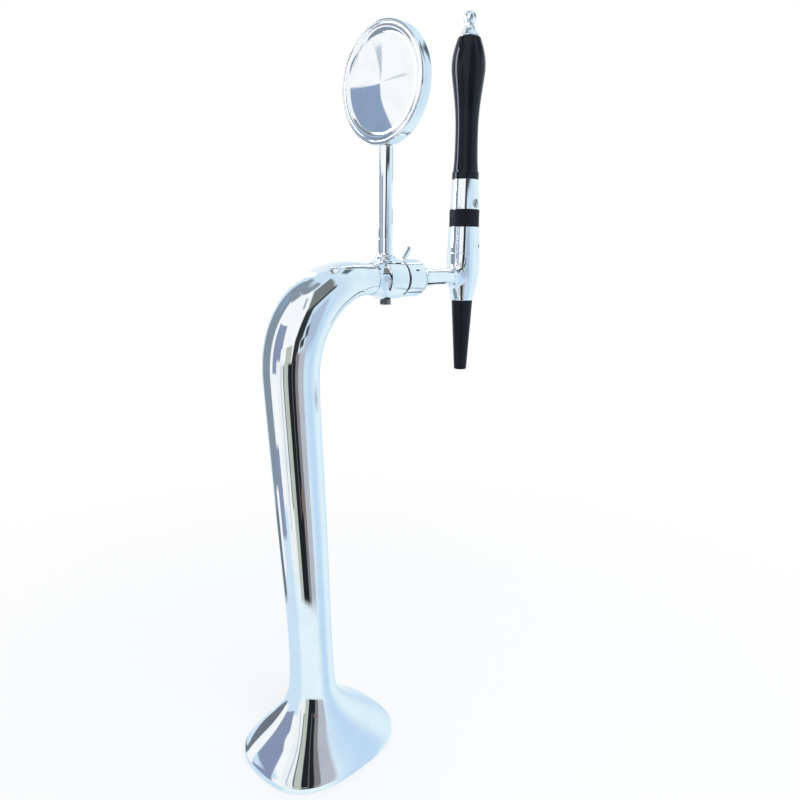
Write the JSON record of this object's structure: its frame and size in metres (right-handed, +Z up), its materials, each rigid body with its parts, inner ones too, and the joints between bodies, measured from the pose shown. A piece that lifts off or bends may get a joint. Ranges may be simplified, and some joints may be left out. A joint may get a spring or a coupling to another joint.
{
  "type": "coffee tower",
  "caption": "Chrome swan-neck counter tower with a slow-pour tap, black tilt handle, tapered black nozzle, flow lever and a round badge on a stem.",
  "frame": {"origin": "centre of the base on the counter plane, which is the underside of the base gasket", "axes": "+Z up, +X from the column towards the tap, Y across the tower"},
  "size_m": [0.2555, 0.1032, 0.6129],
  "materials": {
    "chrome_column": "polished chrome plate",
    "chrome_fittings": "polished chrome plate",
    "chrome_badge": "polished chrome plate",
    "chrome_tap": "polished chrome plate",
    "spun_steel": "concentric spun finish",
    "steel_tube": "drawn tube",
    "pin_steel": "ground steel",
    "screw_steel": "turned steel",
    "dark_steel": "black oxide",
    "brass": "machined",
    "black_rubber": "moulded",
    "boot_rubber": "smooth moulded",
    "black_grip": "high gloss lacquer",
    "black_nozzle": "smooth moulded",
    "white_plastic": "machined"
  },
  "bodies": {
    "tower": {"column": "chrome_column", "base_gasket": "black_rubber", "product_line": "steel_tube", "line_grommet": "black_rubber", "outlet_bush": "brass", "clamp_ring": "chrome_fittings", "clamp_bolt": "dark_steel", "stem_socket": "chrome_fittings", "badge_stem": "chrome_fittings", "badge_housing": "chrome_badge", "badge_bezel": "chrome_badge", "badge_disc": "spun_steel", "badge_pad": "black_rubber", "seal_ring": "black_rubber", "flow_collar": "chrome_fittings", "collar_screw": "dark_steel", "shank": "chrome_fittings", "tail_oring": "black_rubber", "spigot_oring": "black_rubber", "lever_pin": "pin_steel", "tap_body": "chrome_tap", "valve_seat": "white_plastic", "bonnet": "chrome_tap", "bonnet_oring": "black_rubber", "bonnet_screw": "dark_steel", "packing_gland": "brass", "rod_orings": "black_rubber", "fulcrum_pin": "pin_steel", "boot": "boot_rubber", "nozzle": "black_nozzle", "nozzle_oring": "black_rubber", "restrictor_disc": "brass", "flow_straightener": "white_plastic"},
    "handle": {"tap_lever": "pin_steel", "crank_pin": "pin_steel", "ferrule": "chrome_tap", "ferrule_screw": "screw_steel", "grip": "black_grip", "finial": "chrome_tap"},
    "valve": {"valve_rod": "pin_steel", "spool_oring": "black_rubber"},
    "restrictor_lever": {"flow_lever": "chrome_fittings"},
    "restrictor_cone": {"flow_cone": "white_plastic"}
  },
  "joints": [
    {"name": "handle_tilt", "type": "hinge", "parent": "tower", "child": "handle", "pos_m": [0.1852, 0, 0.4415], "axis": [0, 1, 0], "range_deg": [-10, 30], "deforming": ["boot"]},
    {"name": "valve_lift", "type": "slide", "parent": "tower", "child": "valve", "axis": [0, 0, 1], "range_m": [-0.0012, 0.0035]},
    {"name": "flow_lever_tilt", "type": "hinge", "parent": "tower", "child": "restrictor_lever", "pos_m": [0.097, 0, 0.4038], "axis": [0, 1, 0], "range_deg": [-57, 0]},
    {"name": "flow_cone_slide", "type": "slide", "parent": "tower", "child": "restrictor_cone", "axis": [1, 0, 0], "range_m": [0, 0.0065]}
  ],
  "couplings": [
    {"joint": "valve_lift", "follows": "handle_tilt", "m_per_rad": 0.00637},
    {"joint": "flow_cone_slide", "follows": "flow_lever_tilt", "m_per_rad": -0.00633}
  ]
}
